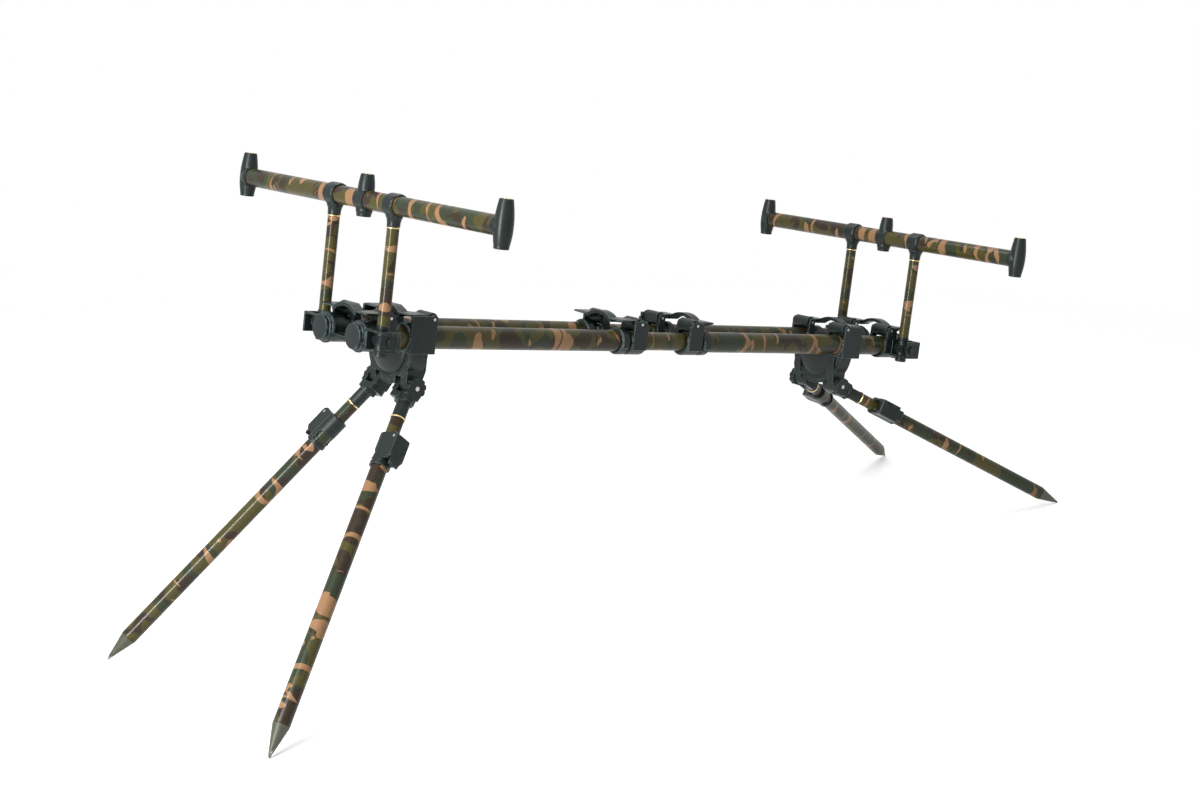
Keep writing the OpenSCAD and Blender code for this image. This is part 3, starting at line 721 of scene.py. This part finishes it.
def middle_socket(bm, place):
    """A post above the bar, a stub below it, and a ring round it that joins them."""
    outline = [(0, inside_bar), (middle_girth, inside_bar)]
    outline += swell(middle_girth, bar_radius, socket_up - socket_edge, socket_top)
    add_part(bm, turned(outline + socket_mouth()), place)
    stub = turned([
        (0, -inside_bar), (middle_girth, -inside_bar), (middle_girth, -bar_radius - socket_belt),
        (socket_foot, lip_height - middle_down), (socket_foot, socket_edge - middle_down),
        (socket_foot - socket_edge, -middle_down), (0, -middle_down),
    ])
    add_part(bm, stub, place)
    hub = turned([
        (bar_radius, -middle_hub), (hub_radius - socket_edge, -middle_hub),
        (hub_radius, socket_edge - middle_hub), (hub_radius, middle_hub - socket_edge),
        (hub_radius - socket_edge, middle_hub), (bar_radius, middle_hub), (bar_radius, -middle_hub),
    ])
    add_part(bm, hub, place @ to_bar)


for end, outward in ends:
    bm = bmesh.new()
    bar_middle = pod_at(outward * upright_out, 0, bar_rise)
    middle_socket(bm, bar_middle)
    for side in (-1, 1):
        outward_turn = Matrix.Rotation(side * radians(-90), 4, "X")
        bar_end = bar_middle @ Matrix.Translation((0, side * socket_half[end], 0))
        end_socket(bm, bar_end, outward_turn)
    one_skin(finish_piece(
        f"{end}_socket_posts", bm, [moulding], f"{end}_buzz", [f"{end}_rod_sockets"]))

# Upright ties: moulded rings round the bar, each flaring down into a neck on its upright.
# Ring and neck are one moulding, bonded to both tubes, with a step at each side of the ring.
tie_half, tie_step, tie_radius, tie_rim = 0.009, 0.002, 0.01255, 0.01175
neck_low = -0.022
neck_flare = ((0.0092, -0.0115), (0.0079, -0.0140), (0.0073, -0.0165), (0.0071, -0.0190))

for end, outward in ends:
    bm = bmesh.new()
    for aside in (-upright_aside, upright_aside):
        place = pod_at(outward * upright_out, aside, bar_rise)
        band = turned([
            (bar_radius, -tie_half), (tie_rim, -tie_half), (tie_rim, tie_step - tie_half),
            (tie_radius, tie_step - tie_half), (tie_radius, tie_half - tie_step),
            (tie_rim, tie_half - tie_step), (tie_rim, tie_half), (bar_radius, tie_half),
            (bar_radius, -tie_half),
        ])
        add_part(bm, band, place @ to_bar)
        neck = turned([
            (0, -inside_bar), (neck_flare[0][0], -inside_bar), *neck_flare,
            (neck_flare[-1][0], neck_low), (0, neck_low),
        ])
        add_part(bm, neck, place)
    one_skin(finish_piece(
        f"{end}_tie_bands", bm, [moulding], f"{end}_buzz", [f"{end}_upright_ties"]))

# Pins and inserts: bright steel pins through every hinge, and brass bushes in the sockets.
# Each bush is tapped for the 3/8 inch screw of a rod rest; its thread is one ridge wound down the bore.
steel_colour, steel_rough = (0.56, 0.56, 0.54, 1), 0.34
brass_colour, brass_rough = (0.80, 0.62, 0.30, 1), 0.30
dull_share, rough_spread = 0.7, 0.1
thread_crest, thread_root = 0.0042, 0.00476
thread_pitch, thread_turns = 0.00127, 10
thread_reach = 0.42 * thread_pitch
turn_steps = 24


def bare_metal(name, colour, rough):
    """Turned metal, mottled between bright and dull."""
    material, tree, shader = new_material(name)
    shader.inputs["Metallic"].default_value = 1
    place = tree.nodes.new("ShaderNodeTexCoord").outputs["Object"]
    grain = effect(tree, fine_grain, place, scale=1400)
    dull = tuple(c * dull_share for c in colour[:3]) + (1,)
    mottle = mixed(tree, "MIX", grain.outputs["Grain"], colour, dull)
    link(tree, mottle, shader.inputs["Base Color"])
    clouded = ranged(tree, grain.outputs["Cloud"], rough - rough_spread, rough + rough_spread)
    link(tree, clouded, shader.inputs["Roughness"])
    bumped(tree, shader, grain.outputs["Grain"], strength=0.08, distance=0.0001)
    return material


steel = bare_metal("bright_steel", steel_colour, steel_rough)
brass = bare_metal("turned_brass", brass_colour, brass_rough)
for part in frame["record"]["subparts"]:
    if part["material_slot"] == "steel":
        mesh = frame["nodes"][part["node"]].data
        mesh.materials.clear()
        mesh.materials.append(steel)


def thread_ridge():
    """Winds one triangular ridge down a bore from height 0."""
    part = bmesh.new()
    part.verts.layers.float_vector.new("tube_place")
    corners = ((thread_root, 0, -thread_reach), (thread_crest, 0, 0), (thread_root, 0, thread_reach))
    points = [part.verts.new(corner) for corner in corners]
    edges = [part.edges.new((points[i - 1], points[i])) for i in range(3)]
    bmesh.ops.spin(
        part, geom=points + edges, axis=(0, 0, 1), angle=2 * pi * thread_turns,
        steps=turn_steps * thread_turns, dvec=(0, 0, -thread_pitch / turn_steps), use_merge=False)
    bmesh.ops.holes_fill(part, edges=[e for e in part.edges if e.is_boundary])
    bmesh.ops.recalc_face_normals(part, faces=part.faces)
    return part


for end, outward in ends:
    bm = bmesh.new()
    for aside in (-socket_half[end], 0, socket_half[end]):
        place = pod_at(outward * upright_out, aside, bar_rise + socket_up)
        bush = turned([
            (thread_root, -insert_depth), (insert_radius, -insert_depth), (insert_radius, 0),
            (thread_root, 0), (thread_root, -insert_depth),
        ])
        add_part(bm, bush, place)
        add_part(bm, thread_ridge(), place @ Matrix.Translation((0, 0, -thread_pitch)))
    finish_piece(
        f"{end}_thread_bushes", bm, [brass], f"{end}_buzz", [f"{end}_thread_inserts"])

# Trim rings: thin turned brass rings with bevelled edges, where a tube enters its socket.
# On the legs they fit a seat at the knuckle's mouth; on the uprights they sit close under the ties.
ring_width, ring_wall = 0.0017, 0.0007
ring_bevel = 0.3 * ring_width
leg_ring_seat = 0.0003


def ring(bm, high, radius, place):
    """Adds a ring round a tube, up to a height."""
    low, out = high - ring_width, radius + ring_wall
    part = turned([
        (radius, low), (out - ring_bevel, low), (out, low + ring_bevel), (out, high - ring_bevel),
        (out - ring_bevel, high), (radius, high), (radius, low),
    ])
    add_part(bm, part, place)


for leg in legs:
    bm = bmesh.new()
    ring(bm, leg_socket, leg_in_radius + leg_ring_seat, leg_place[leg])
    finish_piece(f"{leg}_leg_ring", bm, [brass], f"{leg}_leg_top")
for end, outward in ends:
    bm = bmesh.new()
    for aside in (-upright_aside, upright_aside):
        ring(bm, bar_rise + neck_low, upright_radius, pod_at(outward * upright_out, aside))
    finish_piece(f"{end}_upright_rings", bm, [brass], f"{end}_buzz")

# Studio: a white floor that keeps the shadow, a white surround and three soft lamps, two of them overhead
# and a tall narrow one low on the left. Floor and surround look white to the camera and in reflections,
# and light the pod more softly.
floor_half = 6.0
fade_from, fade_to = 0.9, 2.0
floor_white = (0.82, 0.82, 0.82, 1)
floor_lift = 0.36
surround_light = 0.25
# Each lamp has its name, place, length, breadth and power.
lamps = (
    ("key_softbox", (-1.9, -0.5, 2.1), 1.9, 0.4, 52),
    ("top_softbox", (0.6, 0.8, 2.6), 2.4, 0.6, 36),
    ("front_softbox", (-2.4, -0.5, 0.75), 0.3, 1.2, 58),
)
lamp_aim = Vector((0, 0, 0.25))


def seen_as_white(tree):
    """One for a camera, glossy or transmission ray, and nothing for light on the object."""
    path = tree.nodes.new("ShaderNodeLightPath")
    seen = path.outputs["Is Camera Ray"]
    for label in ("Is Glossy Ray", "Is Transmission Ray"):
        most = tree.nodes.new("ShaderNodeMath")
        most.operation = "MAXIMUM"
        link(tree, seen, most.inputs[0])
        link(tree, path.outputs[label], most.inputs[1])
        seen = most.outputs[0]
    return seen


bm = bmesh.new()
bmesh.ops.create_grid(bm, x_segments=1, y_segments=1, size=floor_half)
floor_mesh = bpy.data.meshes.new("floor")
bm.to_mesh(floor_mesh)
bm.free()
floor = bpy.data.objects.new("floor", floor_mesh)
scene.collection.objects.link(floor)
floor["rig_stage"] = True
floor_paint, tree, shader = new_material("white_floor")
shader.inputs["Base Color"].default_value = floor_white
shader.inputs["Roughness"].default_value = 0.9
shader.inputs["Emission Color"].default_value = (1, 1, 1, 1)
link(tree, ranged(tree, seen_as_white(tree), 0, floor_lift), shader.inputs["Emission Strength"])
far = tree.nodes.new("ShaderNodeVectorMath")
far.operation = "LENGTH"
link(tree, tree.nodes.new("ShaderNodeTexCoord").outputs["Object"], far.inputs[0])
clear = tree.nodes.new("ShaderNodeBsdfTransparent")
blend = tree.nodes.new("ShaderNodeMixShader")
link(tree, ranged(tree, far.outputs["Value"], 0, 1, fade_from, fade_to), blend.inputs[0])
link(tree, shader.outputs["BSDF"], blend.inputs[1])
link(tree, clear.outputs["BSDF"], blend.inputs[2])
link(tree, blend.outputs["Shader"], tree.nodes["Material Output"].inputs["Surface"])
floor_mesh.materials.append(floor_paint)

world = bpy.data.worlds.new("studio")
scene.world = world
world.use_nodes = True
tree = world.node_tree
background = tree.nodes["Background"]
background.inputs["Color"].default_value = (1, 1, 1, 1)
link(tree, ranged(tree, seen_as_white(tree), surround_light, 1), background.inputs["Strength"])

for name, spot, length, breadth, power in lamps:
    lamp = bpy.data.lights.new(name, "AREA")
    lamp.shape = "RECTANGLE"
    lamp.size = length
    lamp.size_y = breadth
    lamp.energy = power
    stand = bpy.data.objects.new(name, lamp)
    stand.location = spot
    stand.rotation_euler = (lamp_aim - Vector(spot)).to_track_quat("-Z", "Y").to_euler()
    scene.collection.objects.link(stand)

# The bounds of the dressed pod, leaving out the floor.
bpy.context.view_layer.update()
low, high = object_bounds()
